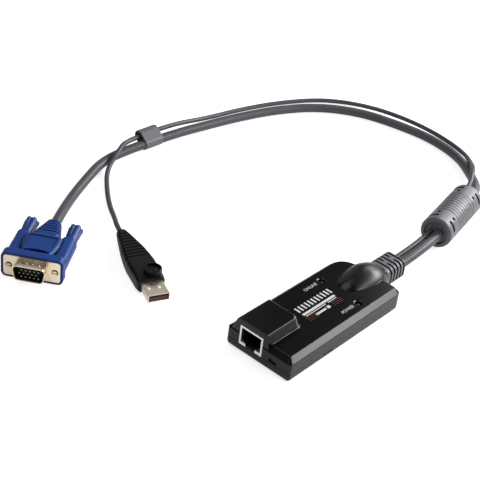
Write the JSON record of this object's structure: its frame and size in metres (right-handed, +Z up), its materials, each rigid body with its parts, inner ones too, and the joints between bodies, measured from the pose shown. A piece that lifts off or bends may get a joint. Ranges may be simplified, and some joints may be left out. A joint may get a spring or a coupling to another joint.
{
  "type": "keyboard, video and mouse adapter cable",
  "caption": "Small black adapter box with a network socket at one end and a strain-relieved pair of cables at the other, ending in a video plug and a serial bus plug.",
  "frame": {"origin": "bottom centre of the adapter box with its socket and cable boot, on the surface it lies on", "axes": "+X from the network socket along the box to the cable end, +Y to the left seen from the socket end looking along +X, +Z up out of the top of the box"},
  "size_m": [0.3205, 0.2145, 0.0206],
  "materials": {
    "case_gloss_black": "gloss",
    "zinc_steel": "satin",
    "board_green": "gloss",
    "nickel_sheet": "bright",
    "black_plastic": "matt",
    "gold_plate": "bright",
    "aluminium_can": "satin",
    "white_plastic": "matt",
    "clear_lens": "clear",
    "grey_vinyl": "matt",
    "ferrite_ceramic": "matt",
    "cable_vinyl": "satin",
    "blue_vinyl": "satin",
    "blue_plastic": "satin",
    "dark_plastic": "matt",
    "black_vinyl": "satin"
  },
  "bodies": {
    "adapter": {"upper_shell": "case_gloss_black", "lower_shell": "case_gloss_black", "case_screws": "zinc_steel", "circuit_board": "board_green", "jack_shield": "nickel_sheet", "jack_insert": "black_plastic", "jack_contacts": "gold_plate", "video_chip": "black_plastic", "line_driver_chip": "black_plastic", "chip_leads": "nickel_sheet", "network_transformer": "black_plastic", "capacitors": "aluminium_can", "crystal": "nickel_sheet", "video_header": "white_plastic", "usb_header": "white_plastic", "online_led": "clear_lens", "power_led": "clear_lens", "cable_boot": "grey_vinyl", "ferrite_core": "ferrite_ceramic", "ferrite_overmould": "grey_vinyl", "cable_collar": "grey_vinyl", "video_cable": "cable_vinyl", "usb_cable": "cable_vinyl", "video_plug_shell": "nickel_sheet", "video_plug_insulator": "black_plastic", "video_plug_pins": "gold_plate", "video_plug_hood": "blue_vinyl", "usb_plug_shell": "nickel_sheet", "usb_plug_tongue": "dark_plastic", "usb_plug_contacts": "gold_plate", "usb_plug_hood": "black_vinyl"},
    "left_thumbscrew": {"left_thumbscrew_screw": "zinc_steel", "left_thumbscrew_knob": "blue_plastic"},
    "right_thumbscrew": {"right_thumbscrew_screw": "zinc_steel", "right_thumbscrew_knob": "blue_plastic"}
  },
  "joints": [
    {"name": "left_thumbscrew_turn", "type": "hinge", "parent": "adapter", "child": "left_thumbscrew", "pos_m": [-0.08845, 0.14498, 0.00775], "axis": [0.8381, 0.5455, 0], "continuous": true},
    {"name": "right_thumbscrew_turn", "type": "hinge", "parent": "adapter", "child": "right_thumbscrew", "pos_m": [-0.07482, 0.12404, 0.00775], "axis": [0.8381, 0.5455, 0], "continuous": true}
  ]
}
